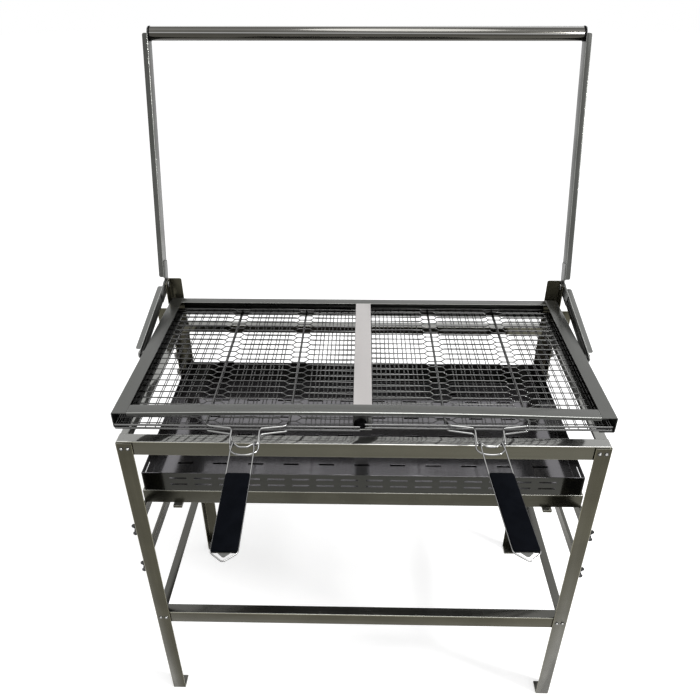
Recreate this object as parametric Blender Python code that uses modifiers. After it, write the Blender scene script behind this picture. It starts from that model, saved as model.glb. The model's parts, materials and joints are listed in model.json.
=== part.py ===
"""Charcoal flip grill: an angle-iron stand, a charcoal tray on a sliding carrier,
and a lever that lifts and turns a grate frame holding two wire baskets.

Metres, +Z up, +Y away from the user. Sizes are given from the centre of the
stand; the whole object is then moved by STAND_Y, so that the origin is on the
floor under the middle of its overall depth, from the handles' tips to the tube.
"""
import math

import bmesh
import bpy
from mathutils import Matrix, Vector

GAP = 0.0003                      # clearance left between touching pieces
SHAFT_GAP = 0.00005               # running clearance of a bolt in its hole
BEND = 0.0022                     # outer radius of a folded sheet
SIDES = {"left": -1.0, "right": 1.0}
ROUND = 24                        # sides of bolts and of their holes

# Stand
STAND_Y = 0.070                   # final place of the stand's centre
STAND_W = 0.900
STAND_D = 0.455
LEG = 0.030
LEG_SHEET = 0.002
FRONT_LEG_H = 0.757
POST_H = 0.871
POST_CORNER = 0.004
FOOT_SHEET = 0.003
RAIL_FACE = 0.031                  # height of a rail's upright face
CROSS_FLANGE = 0.0225
TOP_SIDE_FLANGE = 0.025
LOW_SIDE_FLANGE = 0.020
RAIL_SHEET = 0.0015
TOP_RAIL_Z = 0.760
LOW_RAIL_Z = 0.2775

# Rails that carry the tray, one pair above the other
RUNNER_H = 0.040
RUNNER_LIP = 0.008
RUNNER_Z = {"upper": 0.555, "lower": 0.457}
WING_NUT_Z = {"upper": 0.5205, "lower": 0.412}
WING_NUT_Y = -0.2125
WING_SPAN = 0.0305
WING_REACH = 0.0125
WING_SHEET = 0.003

# Tray and its carrier
CARRIER_HALF = 0.4435
CARRIER_Y = (-0.1700, 0.2215)
CARRIER_H = 0.0325
CARRIER_FLANGE = 0.020
CROSS_BAR_X = 0.375
CROSS_BAR_W = 0.018
CROSS_BAR_H = 0.006
CROSS_BAR_Y = (-0.1790, 0.2150)
TRAY_HALF = 0.4390
TRAY_Y = (-0.1690, 0.2215)
TRAY_BOTTOM = 0.5881
TRAY_SHEET = 0.0014
TRAY_WALL_TOP = 0.634
TRAY_REAR_TOP = 0.645
ASH_HALF = 0.4290
ASH_SHEET = 0.0010
FLOOR_SLOT = (0.032, 0.005)
FLOOR_ROWS = 10
FLOOR_ROW_STEP = 0.0325
FLOOR_ROW_START = -0.121
FLOOR_SLOT_STEP = 0.075
FLOOR_SLOTS = 10
WALL_SLOT = (0.034, 0.004)
WALL_SLOT_STEP = 0.049
WALL_SLOTS = 16
WALL_SLOT_Z = (0.6045, 0.6205)
SIDE_SLOT_Y = (-0.153, -0.117)
SIDE_SLOT_Z = 0.618

# Lever
HINGE_DROP = 0.009                # hinge below the rear posts' tops
HINGE = Vector((0.0, STAND_D / 2 - LEG / 2, POST_H - HINGE_DROP))
PIVOT = HINGE + Vector((0.0, -0.2233, -0.0490))
TUBE = HINGE + Vector((0.0, 0.1515, 0.5060))
TUBE_R = 0.014
TUBE_WALL = 0.0015
PLUG_R = 0.015
PLUG_RIM = 0.003
PLUG_DEPTH = 0.012
BRACKET_SHEET = 0.0015
BRACKET_HALF = 0.0130
BRACKET_UP = 0.054
BRACKET_DOWN = 0.050
ARM_SHEET = 0.0015
ARM_HALF = 0.0145
ARM_FLANGE = 0.0110
ARM_END_R = 0.004
ARM_FOLD = 0.0004                 # the fold's rounding, between web and flange
LOWER_FLANGE_START = 0.025
UPPER_WEB_START = 0.0170
UPPER_FLANGE_START = 0.0185
BOLT_R = 0.004
BOLT_HEAD_R = 0.0068
BOLT_HEAD = 0.0043
RIVET_HEAD = 0.0022
COLLAR_R = 0.0075

BRACKET_X = STAND_W / 2 + GAP
WEB_X = BRACKET_X + BRACKET_SHEET + GAP
TUBE_END = WEB_X - GAP - PLUG_RIM - GAP

# Brackets on the outer side of the rear posts
STOP_H = 0.056
STOP_DROP = 0.054                 # top of the bracket below the hinge
STOP_Z = (HINGE.z - STOP_DROP - STOP_H, HINGE.z - STOP_DROP)
STOP_Y = HINGE.y - 0.0165
STOP_OUT = STAND_W / 2 + 0.028

# Grate frame
GRATE_PLAY = 0.0091               # between the frame and the lever's arms
GRATE_HALF = WEB_X - GRATE_PLAY
GRATE_Y = (PIVOT.y - 0.2198, PIVOT.y + 0.2197)
GRATE_TOP = PIVOT.z + 0.0160
GRATE_H = 0.032
GRATE_SHEET = 0.0015
SIDE_FLANGE = 0.027
REAR_FLANGE = 0.022
FRONT_FLANGE = 0.025
FRONT_LIP = 0.0065
FRONT_BOW = 0.006
STRIP_W = 0.033
KNOB_XY = (-0.0035, GRATE_Y[0] + 0.0131)
KNOB_R = 0.0115
KNOB_H = 0.0100

# Baskets: two wire nets each, one over the other
BASKET_PLAY = 0.0030              # between a basket and the frame's side
BASKET_OUT = GRATE_HALF - GRATE_SHEET - BASKET_PLAY
KNOB_ROOM = KNOB_R + 0.0015       # the inner edges pass the knob
BASKET_X = {"left": (-BASKET_OUT, KNOB_XY[0] - KNOB_ROOM), "right": (KNOB_XY[0] + KNOB_ROOM, BASKET_OUT)}
BASKET_D = 0.434
BASKET_FRONT = {"left": GRATE_Y[0] - 0.0084, "right": GRATE_Y[0] - 0.0009}
NET_SHEET = 0.003
NET_Z = {"upper": GRATE_TOP - 0.0195, "lower": GRATE_TOP - 0.0282}
NET_GAPS = (10, 7)
NET_RIM = 0.005
NET_BAR = 0.003
NECK_X = {"left": -0.2035, "right": 0.2205}
NECK_HALF = 0.0735
NECK_INNER = 0.0245
NECK_WIRE = 0.004
HANDLE_Z = GRATE_TOP - 0.0280
HANDLE_BACK = 0.0380              # hinge in front of the basket's front wire
LOWER_NECK_REACH = 0.0150         # how far the lower neck passes the hinge
LOWER_NECK_Z = HANDLE_Z - 0.0115
REAR_LOOP = (0.012, 0.003)        # loops that tie the two nets at the rear
REAR_LOOP_X = 0.130

# Handles
HANDLE_HALF = 0.0200
HANDLE_WIRE = 0.0035
HANDLE_DROOP = math.radians(6.0)
HANDLE_SKEW = {"left": math.radians(0.9), "right": math.radians(5.2)}
EYE_R = 0.0056
EYE_LENGTH = 0.004
GRIP_START = 0.0675
GRIP_LENGTH = 0.1505
GRIP_SHEET = 0.008
TIP_REACH = 0.015                 # V of the wire beyond the grip


def clear_scene():
    for obj in list(bpy.data.objects):
        bpy.data.objects.remove(obj, do_unlink=True)


def make_collection(name):
    group = bpy.data.collections.new(name)
    bpy.context.scene.collection.children.link(group)
    return group


def make_material(name, colour, roughness, metallic):
    mat = bpy.data.materials.new(name)
    mat.use_nodes = True
    shader = mat.node_tree.nodes["Principled BSDF"]
    shader.inputs["Base Color"].default_value = (*colour, 1.0)
    shader.inputs["Roughness"].default_value = roughness
    shader.inputs["Metallic"].default_value = metallic
    return mat


clear_scene()
PARTS = make_collection("flip_grill")
CUTTERS = make_collection("cutters")

# One finish for each kind of piece; every object gets its own copy.
FINISHES = {
    "stand": ((0.105, 0.100, 0.080), 0.45, 0.6),
    "carrier": ((0.080, 0.078, 0.070), 0.45, 0.6),
    "tray": ((0.060, 0.060, 0.060), 0.50, 0.7),
    "lever": ((0.130, 0.135, 0.130), 0.40, 0.8),
    "tube": ((0.420, 0.410, 0.370), 0.12, 1.0),
    "black": ((0.012, 0.012, 0.013), 0.45, 0.0),
    "grate": ((0.180, 0.180, 0.175), 0.38, 0.9),
    "wire": ((0.300, 0.300, 0.300), 0.30, 1.0),
    "bolt": ((0.200, 0.200, 0.200), 0.35, 1.0),
    "grip": ((0.015, 0.018, 0.024), 0.40, 0.0),
}


def add_part(obj, name, finish, smooth=False):
    """Names a finished solid, gives it its own material and files it with the parts."""
    colour, roughness, metallic = FINISHES[finish]
    obj.name = name
    obj.data.name = name
    obj.data.materials.clear()
    obj.data.materials.append(make_material(name, colour, roughness, metallic))
    for group in list(obj.users_collection):
        group.objects.unlink(obj)
    PARTS.objects.link(obj)
    if smooth:
        obj.data.shade_smooth()
        obj.data.set_sharp_from_angle(angle=math.radians(35.0))
    return obj


def link_mesh(mesh, matrix=Matrix()):
    obj = bpy.data.objects.new(mesh.name, mesh)
    obj.matrix_world = matrix
    bpy.context.scene.collection.objects.link(obj)
    return obj


def curve_to_mesh(obj):
    """Replaces a curve by its evaluated mesh with the caps welded on."""
    bpy.context.view_layer.update()
    graph = bpy.context.evaluated_depsgraph_get()
    mesh = bpy.data.meshes.new_from_object(obj.evaluated_get(graph))
    shape = bmesh.new()
    shape.from_mesh(mesh)
    bmesh.ops.remove_doubles(shape, verts=shape.verts, dist=0.00001)
    bmesh.ops.recalc_face_normals(shape, faces=shape.faces)
    shape.to_mesh(mesh)
    shape.free()
    matrix = obj.matrix_world.copy()
    bpy.data.objects.remove(obj, do_unlink=True)
    return link_mesh(mesh, matrix)


# Turns a flat outline so that its thickness runs along X, Y or Z. The outline's
# two coordinates are then (y, z), (x, z) or (x, y).
ALONG = {
    "X": Matrix(((0, 0, 1), (1, 0, 0), (0, 1, 0))).to_4x4(),
    "Y": Matrix(((1, 0, 0), (0, 0, -1), (0, 1, 0))).to_4x4(),
    "Z": Matrix.Identity(4),
}
UNIT = {"X": Vector((1, 0, 0)), "Y": Vector((0, 1, 0)), "Z": Vector((0, 0, 1))}


def even_caps(obj):
    """Turns the edges inside flat areas, so that their triangles are not slivers."""
    shape = bmesh.new()
    shape.from_mesh(obj.data)
    inner = []
    for edge in shape.edges:
        if edge.is_manifold and edge.calc_face_angle(1.0) < 0.001:
            inner.append(edge)
    bmesh.ops.beautify_fill(shape, faces=shape.faces, edges=inner)
    shape.to_mesh(obj.data)
    shape.free()
    return obj


def prism(loops, along, start, end):
    """Solid with the given closed outline, and any holes after it, between two planes."""
    curve = bpy.data.curves.new("outline", "CURVE")
    curve.dimensions = "2D"
    curve.fill_mode = "BOTH"
    curve.extrude = abs(end - start) / 2
    for loop in loops:
        spline = curve.splines.new("POLY")
        spline.points.add(len(loop) - 1)
        for point, (u, v) in zip(spline.points, loop):
            point.co = (u, v, 0.0, 1.0)
        spline.use_cyclic_u = True
    obj = bpy.data.objects.new("outline", curve)
    bpy.context.scene.collection.objects.link(obj)
    middle = UNIT[along] * (start + end) / 2
    obj.matrix_world = Matrix.Translation(middle) @ ALONG[along]
    return even_caps(curve_to_mesh(obj))


def wire(points, diameter, closed=False):
    """Round wire through the given points, as a closed mesh."""
    curve = bpy.data.curves.new("wire", "CURVE")
    curve.dimensions = "3D"
    curve.bevel_depth = diameter / 2
    curve.bevel_resolution = 2
    curve.use_fill_caps = True
    spline = curve.splines.new("POLY")
    spline.points.add(len(points) - 1)
    for point, place in zip(spline.points, points):
        point.co = (*place, 1.0)
    spline.use_cyclic_u = closed
    obj = bpy.data.objects.new("wire", curve)
    bpy.context.scene.collection.objects.link(obj)
    return curve_to_mesh(obj)


def turned(profile, origin, side):
    """Turned solid on an axis along X. The profile's heights run outwards from the origin."""
    mesh = bpy.data.meshes.new("turned")
    points = [(radius, 0.0, height) for radius, height in profile]
    edges = [(i, i + 1) for i in range(len(points) - 1)]
    mesh.from_pydata(points, edges, [])
    turn = Matrix.Rotation(side * math.pi / 2, 4, "Y")
    obj = link_mesh(mesh, Matrix.Translation(origin) @ turn)
    screw = obj.modifiers.new("turn", "SCREW")
    screw.steps = ROUND
    screw.render_steps = ROUND
    screw.use_merge_vertices = True
    screw.merge_threshold = 0.00001
    screw.use_smooth_shade = True
    return obj


def box(low, high):
    """Box between two corners."""
    low = Vector(low)
    high = Vector(high)
    mesh = bpy.data.meshes.new("box")
    shape = bmesh.new()
    bmesh.ops.create_cube(shape, size=1.0)
    bmesh.ops.scale(shape, vec=high - low, verts=shape.verts)
    bmesh.ops.translate(shape, vec=(low + high) / 2, verts=shape.verts)
    shape.to_mesh(mesh)
    shape.free()
    return link_mesh(mesh)


def rod(centre, radius, length, along):
    """Plain cylinder about its centre, along X, Y or Z."""
    mesh = bpy.data.meshes.new("rod")
    shape = bmesh.new()
    bmesh.ops.create_cone(shape, cap_ends=True, segments=ROUND, radius1=radius,
                          radius2=radius, depth=length)
    shape.to_mesh(mesh)
    shape.free()
    return link_mesh(mesh, Matrix.Translation(centre) @ ALONG[along])


def boolean(obj, tool, operation):
    """Adds a Boolean modifier and files its tool with the hidden cutters."""
    for group in list(tool.users_collection):
        group.objects.unlink(tool)
    CUTTERS.objects.link(tool)
    tool.hide_render = True
    tool.display_type = "WIRE"
    modifier = obj.modifiers.new(operation.lower(), "BOOLEAN")
    modifier.operation = operation
    modifier.solver = "EXACT"
    modifier.object = tool
    return obj


def cut(obj, tool):
    return boolean(obj, tool, "DIFFERENCE")


def join(obj, tool):
    return boolean(obj, tool, "UNION")


def round_edges(obj, chosen, radius):
    """Rounds the edges whose ends and middle all satisfy the test."""
    shape = bmesh.new()
    shape.from_mesh(obj.data)
    bmesh.ops.dissolve_limit(shape, angle_limit=0.01, verts=shape.verts, edges=shape.edges)
    edges = []
    for edge in shape.edges:
        start, end = [obj.matrix_world @ vert.co for vert in edge.verts]
        if chosen(start) and chosen(end) and chosen((start + end) / 2):
            edges.append(edge)
    bmesh.ops.bevel(shape, geom=edges, offset=radius, segments=4, affect="EDGES", profile=0.5)
    shape.to_mesh(obj.data)
    shape.free()
    return obj


def arc(centre, radius, start, end, steps):
    """Points of a circular arc, angles in degrees."""
    points = []
    for i in range(steps + 1):
        angle = math.radians(start + (end - start) * i / steps)
        points.append((centre[0] + radius * math.cos(angle), centre[1] + radius * math.sin(angle)))
    return points


def circle(centre, radius, steps=ROUND):
    return arc(centre, radius, 0.0, 360.0, steps)[:-1]


def angle_outline(corner, reach_u, reach_v, sheet):
    """L section: its outer corner, and how far each flange reaches (signed)."""
    sign_u = math.copysign(1.0, reach_u)
    sign_v = math.copysign(1.0, reach_v)
    points = [(abs(reach_u), 0.0), (abs(reach_u), sheet), (sheet, sheet), (sheet, abs(reach_v)),
              (0.0, abs(reach_v))]
    points += arc((BEND, BEND), BEND, 180.0, 270.0, 3)
    return [(corner[0] + sign_u * u, corner[1] + sign_v * v) for u, v in points]


def channel_outline(back, low, high, reach, sheet):
    """C section open towards the reach: the back's outer face, its two edges, the flanges."""
    sign = math.copysign(1.0, reach)
    size = abs(reach)
    lower = [(size, low + sheet), (size, low)]
    lower += arc((BEND, low + BEND), BEND, 270.0, 180.0, 3)
    upper = arc((BEND, high - BEND), BEND, 180.0, 90.0, 3)
    upper += [(size, high), (size, high - sheet)]
    inner = [(sheet, high - sheet), (sheet, low + sheet)]
    return [(back + sign * u, v) for u, v in lower + upper + inner]


def angle(corner, reach_u, reach_v, sheet, along, start, end):
    return prism([angle_outline(corner, reach_u, reach_v, sheet)], along, start, end)


# Stand

OUTER_X = STAND_W / 2
OUTER_Y = STAND_D / 2
RAIL_X = OUTER_X - LEG_SHEET - GAP          # outer face of the rails, inside the legs
RAIL_Y = OUTER_Y - LEG_SHEET - GAP
RAIL_INNER_Y = RAIL_Y - CROSS_FLANGE


def front_leg(name, side):
    obj = angle((side * OUTER_X, -OUTER_Y), -side * LEG, LEG, LEG_SHEET, "Z", 0.0, FRONT_LEG_H)
    return add_part(obj, name, "stand")


def rear_post(name, side):
    obj = angle((side * OUTER_X, OUTER_Y), -side * LEG, -LEG, LEG_SHEET, "Z", 0.0, POST_H)
    inner_x = OUTER_X - LEG + 0.0001
    front_y = OUTER_Y - LEG + 0.0001
    round_edges(obj, lambda p: p.z > POST_H - 0.0001 and (abs(p.x) < inner_x or p.y < front_y),
                POST_CORNER)
    hole = rod((side * OUTER_X, HINGE.y, HINGE.z), BOLT_R + GAP, 0.01, "X")
    return add_part(cut(obj, hole), name, "stand")


def foot_plate(name, side, end):
    inner = LEG_SHEET + GAP
    xs = sorted((side * (OUTER_X - inner), side * (OUTER_X - LEG)))
    ys = sorted((end * (OUTER_Y - inner), end * (OUTER_Y - LEG)))
    return add_part(box((xs[0], ys[0], 0.0), (xs[1], ys[1], FOOT_SHEET)), name, "stand")


def cross_rail(name, end, top):
    """Rail along X between the legs: face outwards, flange on top pointing inwards."""
    obj = angle((end * RAIL_Y, top), -end * CROSS_FLANGE, -RAIL_FACE, RAIL_SHEET, "X", -RAIL_X, RAIL_X)
    return add_part(obj, name, "stand")


def side_rail(name, side, top, flange):
    """Rail along Y, notched at both ends to pass under the cross rails' flanges."""
    reach = RAIL_Y - RAIL_SHEET - GAP
    obj = angle((side * RAIL_X, top), -side * flange, -RAIL_FACE, RAIL_SHEET, "Y", -reach, reach)
    for end in (-1.0, 1.0):
        ys = sorted((end * (RAIL_INNER_Y - GAP), end * OUTER_Y))
        notch = box((-OUTER_X, ys[0], top - RAIL_SHEET - GAP), (OUTER_X, ys[1], top + 0.01))
        cut(obj, notch)
    return add_part(obj, name, "stand")


def runner(name, side, top):
    """Long support rail with a small lip on which the carrier slides."""
    obj = angle((side * RAIL_X, top), -side * RUNNER_LIP, -RUNNER_H, RAIL_SHEET, "Y",
                -RAIL_Y, RAIL_Y)
    return add_part(obj, name, "stand")


def wing_nut(name, side, height):
    """Nut with two upright wings on the outer side of a front leg."""
    face = OUTER_X + GAP
    hub = rod((side * (face + 0.0035), WING_NUT_Y, height), 0.0055, 0.007, "X")
    half = WING_SPAN / 2
    wing = [(0.0012, -0.004), (0.0050, -half + 0.002), (0.0085, -half), (WING_REACH, -half + 0.003),
            (WING_REACH, -half + 0.007), (0.0065, -0.0035)]
    wing += [(u, -v) for u, v in reversed(wing)]
    outline = [(side * (face + u), height + v) for u, v in wing]
    wings = prism([outline], "Y", WING_NUT_Y - WING_SHEET / 2, WING_NUT_Y + WING_SHEET / 2)
    return add_part(join(hub, wings), name, "bolt")


def hinge_bolt(name, side):
    """Bolt through a rear post and the lever, with its head outside."""
    web = OUTER_X + GAP + BRACKET_SHEET + GAP + ARM_SHEET + GAP
    inner = OUTER_X - LEG_SHEET - GAP
    profile = [(0.0, web + BOLT_HEAD), (BOLT_HEAD_R, web + BOLT_HEAD), (BOLT_HEAD_R, web), (BOLT_R, web),
               (BOLT_R, inner), (BOLT_HEAD_R, inner), (BOLT_HEAD_R, inner - RIVET_HEAD),
               (0.0, inner - RIVET_HEAD)]
    obj = turned(profile, Vector((0.0, HINGE.y, HINGE.z)), side)
    return add_part(obj, name, "bolt")


def stop_bracket(name, side):
    """Upright angle on a rear post's outer side, one flange facing the front."""
    corner = (side * (OUTER_X + GAP), STOP_Y)
    out = STOP_OUT - OUTER_X - GAP
    back = OUTER_Y - STOP_Y
    obj = angle(corner, side * out, back, LEG_SHEET, "Z", *STOP_Z)
    round_edges(obj, lambda p: p.z > STOP_Z[1] - 0.0001 and (abs(p.x) > STOP_OUT - 0.0001
                                                            or p.y > OUTER_Y - 0.0001), 0.005)
    return add_part(obj, name, "stand")


def build_stand():
    parts = []
    for side_name, side in SIDES.items():
        parts.append(front_leg(side_name + "_front_leg", side))
        parts.append(rear_post(side_name + "_rear_post", side))
        parts.append(foot_plate(side_name + "_front_foot", side, -1.0))
        parts.append(foot_plate(side_name + "_rear_foot", side, 1.0))
        parts.append(side_rail("top_" + side_name + "_rail", side, TOP_RAIL_Z, TOP_SIDE_FLANGE))
        parts.append(side_rail("low_" + side_name + "_rail", side, LOW_RAIL_Z, LOW_SIDE_FLANGE))
        for level, top in RUNNER_Z.items():
            parts.append(runner(level + "_" + side_name + "_runner", side, top))
        for level, height in WING_NUT_Z.items():
            parts.append(wing_nut(level + "_" + side_name + "_wing_nut", side, height))
        parts.append(hinge_bolt(side_name + "_hinge_bolt", side))
        parts.append(stop_bracket(side_name + "_stop_bracket", side))
    for level, top in (("top", TOP_RAIL_Z), ("low", LOW_RAIL_Z)):
        parts.append(cross_rail(level + "_front_rail", -1.0, top))
        parts.append(cross_rail(level + "_rear_rail", 1.0, top))
    return parts


# Tray and carrier

def carrier_rail(name, end, face):
    """Angle along X that rests on the upper runners."""
    low = RUNNER_Z["upper"] + GAP
    obj = angle((face, low + CARRIER_H), -end * CARRIER_FLANGE, -CARRIER_H, RAIL_SHEET, "X",
                -CARRIER_HALF, CARRIER_HALF)
    return add_part(obj, name, "carrier")


def cross_bar(name, side):
    """Flat bar along Y under the two carrier rails."""
    top = RUNNER_Z["upper"]
    middle = side * CROSS_BAR_X
    obj = box((middle - CROSS_BAR_W / 2, CROSS_BAR_Y[0], top - CROSS_BAR_H),
              (middle + CROSS_BAR_W / 2, CROSS_BAR_Y[1], top))
    return add_part(obj, name, "carrier")


def ash_sheet(name):
    """Plain sheet on the two cross bars, under the tray's slots."""
    low = RUNNER_Z["upper"] + GAP
    inset = RAIL_SHEET + GAP
    obj = box((-ASH_HALF, CARRIER_Y[0] + inset, low), (ASH_HALF, CARRIER_Y[1] - inset, low + ASH_SHEET))
    return add_part(obj, name, "tray")


def tray_shell():
    """Open box of thin sheet with a rear wall a little higher than the rest."""
    outer = box((-TRAY_HALF, TRAY_Y[0], TRAY_BOTTOM), (TRAY_HALF, TRAY_Y[1], TRAY_REAR_TOP))
    sheet = TRAY_SHEET
    inner = box((-TRAY_HALF + sheet, TRAY_Y[0] + sheet, TRAY_BOTTOM + sheet),
                (TRAY_HALF - sheet, TRAY_Y[1] - sheet, TRAY_REAR_TOP + 0.01))
    above = box((-TRAY_HALF - 0.01, TRAY_Y[0] - 0.01, TRAY_WALL_TOP),
                (TRAY_HALF + 0.01, TRAY_Y[1] - sheet, TRAY_REAR_TOP + 0.02))
    return cut(cut(outer, inner), above)


def slot_cutter(places, size):
    """All the slots of one face as boxes in a single cutter."""
    mesh = bpy.data.meshes.new("slots")
    shape = bmesh.new()
    for place in places:
        made = bmesh.ops.create_cube(shape, size=1.0)
        bmesh.ops.scale(shape, vec=size, verts=made["verts"])
        bmesh.ops.translate(shape, vec=place, verts=made["verts"])
    shape.to_mesh(mesh)
    shape.free()
    return link_mesh(mesh)


def floor_slots():
    """Rows along X, every second row moved by half a step."""
    places = []
    for row in range(FLOOR_ROWS):
        y = FLOOR_ROW_START + row * FLOOR_ROW_STEP
        count = FLOOR_SLOTS + row % 2
        for i in range(count):
            x = (i - (count - 1) / 2) * FLOOR_SLOT_STEP
            places.append((x, y, TRAY_BOTTOM))
    return slot_cutter(places, (FLOOR_SLOT[0], FLOOR_SLOT[1], 0.01))


def wall_slots():
    """Two rows of slots in the front wall."""
    places = []
    for z in WALL_SLOT_Z:
        for i in range(WALL_SLOTS):
            x = (i - (WALL_SLOTS - 1) / 2) * WALL_SLOT_STEP
            places.append((x, TRAY_Y[0], z))
    return slot_cutter(places, (WALL_SLOT[0], 0.01, WALL_SLOT[1]))


def side_slots():
    """One slot near the front of each side wall."""
    middle = sum(SIDE_SLOT_Y) / 2
    length = SIDE_SLOT_Y[1] - SIDE_SLOT_Y[0]
    places = [(side * TRAY_HALF, middle, SIDE_SLOT_Z) for side in SIDES.values()]
    return slot_cutter(places, (0.01, length, WALL_SLOT[1]))


def build_tray():
    tray = tray_shell()
    for slots in (floor_slots(), wall_slots(), side_slots()):
        cut(tray, slots)
    parts = [add_part(tray, "charcoal_tray", "tray")]
    parts.append(carrier_rail("carrier_front_rail", -1.0, CARRIER_Y[0]))
    parts.append(carrier_rail("carrier_rear_rail", 1.0, CARRIER_Y[1]))
    for side_name, side in SIDES.items():
        parts.append(cross_bar("carrier_" + side_name + "_bar", side))
    parts.append(ash_sheet("ash_sheet"))
    return parts


# Lever: two bent arms joined by a tube

def arm_frame(end):
    """Direction from the hinge to an end, its left-hand normal and the length, in (y, z)."""
    run = Vector((end.y - HINGE.y, end.z - HINGE.z))
    length = run.length
    run.normalize()
    return run, Vector((-run.y, run.x)), length


def arm_point(run, normal, s, n):
    place = Vector((HINGE.y, HINGE.z)) + run * s + normal * n
    return (place.x, place.y)


def arm_arc(run, normal, s, radius, start, end, steps=8):
    """Arc about a point of the arm's centre line; 0 degrees points along the arm."""
    points = []
    for u, v in arc((s, 0.0), radius, start, end, steps):
        points.append(arm_point(run, normal, u, v))
    return points


def x_span(side, low, high):
    return tuple(sorted((side * low, side * high)))


def arm_flange(run, normal, side, s_range, facing):
    """Strip along one edge of the web, reaching outwards, with rounded outer corners."""
    rim = facing * ARM_HALF
    inner = facing * (ARM_HALF - ARM_SHEET)
    outline = [arm_point(run, normal, s_range[0], rim), arm_point(run, normal, s_range[1], rim),
               arm_point(run, normal, s_range[1], inner), arm_point(run, normal, s_range[0], inner)]
    outer = WEB_X + ARM_FLANGE
    obj = prism([outline], "X", *x_span(side, WEB_X + ARM_FOLD, outer))

    def at_corner(point):
        run_s = (Vector((point.y, point.z)) - Vector((HINGE.y, HINGE.z))).dot(run)
        at_end = min(abs(run_s - s_range[0]), abs(run_s - s_range[1])) < 0.0001
        return abs(point.x) > outer - 0.0001 and at_end

    return round_edges(obj, at_corner, ARM_END_R)


def lower_arm(name, side):
    """From the hinge to the grate's pivot, a hole at each end, flange on top."""
    run, normal, length = arm_frame(PIVOT)
    half = ARM_HALF - ARM_FOLD
    outline = arm_arc(run, normal, length, half, -90.0, 90.0, 12)
    outline += arm_arc(run, normal, 0.0, half, 90.0, 270.0, 12)
    holes = [circle((end.y, end.z), BOLT_R + SHAFT_GAP) for end in (HINGE, PIVOT)]
    obj = prism([outline] + holes, "X", *x_span(side, WEB_X, WEB_X + ARM_SHEET))
    facing = math.copysign(1.0, normal.y)
    join(obj, arm_flange(run, normal, side, (LOWER_FLANGE_START, length - 0.001), facing))
    return add_part(obj, name, "lever")


def upper_arm(name, side):
    """From just above the hinge to the tube, flange towards the front."""
    run, normal, length = arm_frame(TUBE)
    half = ARM_HALF - ARM_FOLD
    outline = arm_arc(run, normal, length, half, -90.0, 90.0)
    outline += [arm_point(run, normal, UPPER_WEB_START, half),
                arm_point(run, normal, UPPER_WEB_START, -half)]
    obj = prism([outline], "X", *x_span(side, WEB_X, WEB_X + ARM_SHEET))
    facing = -math.copysign(1.0, normal.x)
    join(obj, arm_flange(run, normal, side, (UPPER_FLANGE_START, length - 0.001), facing))
    return add_part(obj, name, "lever")


def elbow_plate(name, side):
    """Flat plate behind the webs that ties the two arms into one lever."""
    span = x_span(side, BRACKET_X, BRACKET_X + BRACKET_SHEET)
    obj = prism([circle((HINGE.y, HINGE.z), BRACKET_HALF)], "X", *span)
    for end, reach in ((TUBE, BRACKET_UP), (PIVOT, BRACKET_DOWN)):
        run, normal, _ = arm_frame(end)
        outline = [arm_point(run, normal, 0.0, BRACKET_HALF),
                   arm_point(run, normal, reach, BRACKET_HALF),
                   arm_point(run, normal, reach, -BRACKET_HALF),
                   arm_point(run, normal, 0.0, -BRACKET_HALF)]
        join(obj, prism([outline], "X", *span))
    hole = rod((side * BRACKET_X, HINGE.y, HINGE.z), BOLT_R + SHAFT_GAP, 0.01, "X")
    return add_part(cut(obj, hole), name, "lever")


def cross_tube(name):
    loops = [circle((TUBE.y, TUBE.z), TUBE_R), circle((TUBE.y, TUBE.z), TUBE_R - TUBE_WALL)]
    return add_part(prism(loops, "X", -TUBE_END, TUBE_END), name, "tube", smooth=True)


def tube_plug(name, side):
    """End plug: a rim between the tube and the arm, and a spigot inside the tube."""
    rim = WEB_X - GAP
    spigot = TUBE_R - TUBE_WALL - GAP
    profile = [(0.0, rim), (PLUG_R - 0.0006, rim), (PLUG_R, rim - 0.0006),
               (PLUG_R, rim - PLUG_RIM), (spigot, rim - PLUG_RIM),
               (spigot, rim - PLUG_RIM - PLUG_DEPTH), (0.0, rim - PLUG_RIM - PLUG_DEPTH)]
    obj = turned(profile, Vector((0.0, TUBE.y, TUBE.z)), side)
    return add_part(obj, name, "black")


def build_lever():
    parts = [cross_tube("handle_tube")]
    for side_name, side in SIDES.items():
        parts.append(lower_arm(side_name + "_lower_arm", side))
        parts.append(upper_arm(side_name + "_upper_arm", side))
        parts.append(elbow_plate(side_name + "_elbow_plate", side))
        parts.append(tube_plug(side_name + "_tube_plug", side))
    return parts


# Grate frame

GRATE_LOW = GRATE_TOP - GRATE_H
BETWEEN_SIDES = GRATE_HALF - SIDE_FLANGE - GAP


def side_channel(name, side):
    outline = channel_outline(side * GRATE_HALF, GRATE_LOW, GRATE_TOP, -side * SIDE_FLANGE,
                              GRATE_SHEET)
    obj = prism([outline], "Y", *GRATE_Y)
    hole = rod((side * GRATE_HALF, PIVOT.y, PIVOT.z), BOLT_R + GAP, 0.01, "X")
    return add_part(cut(obj, hole), name, "grate")


def rear_channel(name):
    outline = channel_outline(GRATE_Y[1], GRATE_LOW, GRATE_TOP, -REAR_FLANGE, GRATE_SHEET)
    obj = prism([outline], "X", -BETWEEN_SIDES, BETWEEN_SIDES)
    return add_part(obj, name, "grate")


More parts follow.
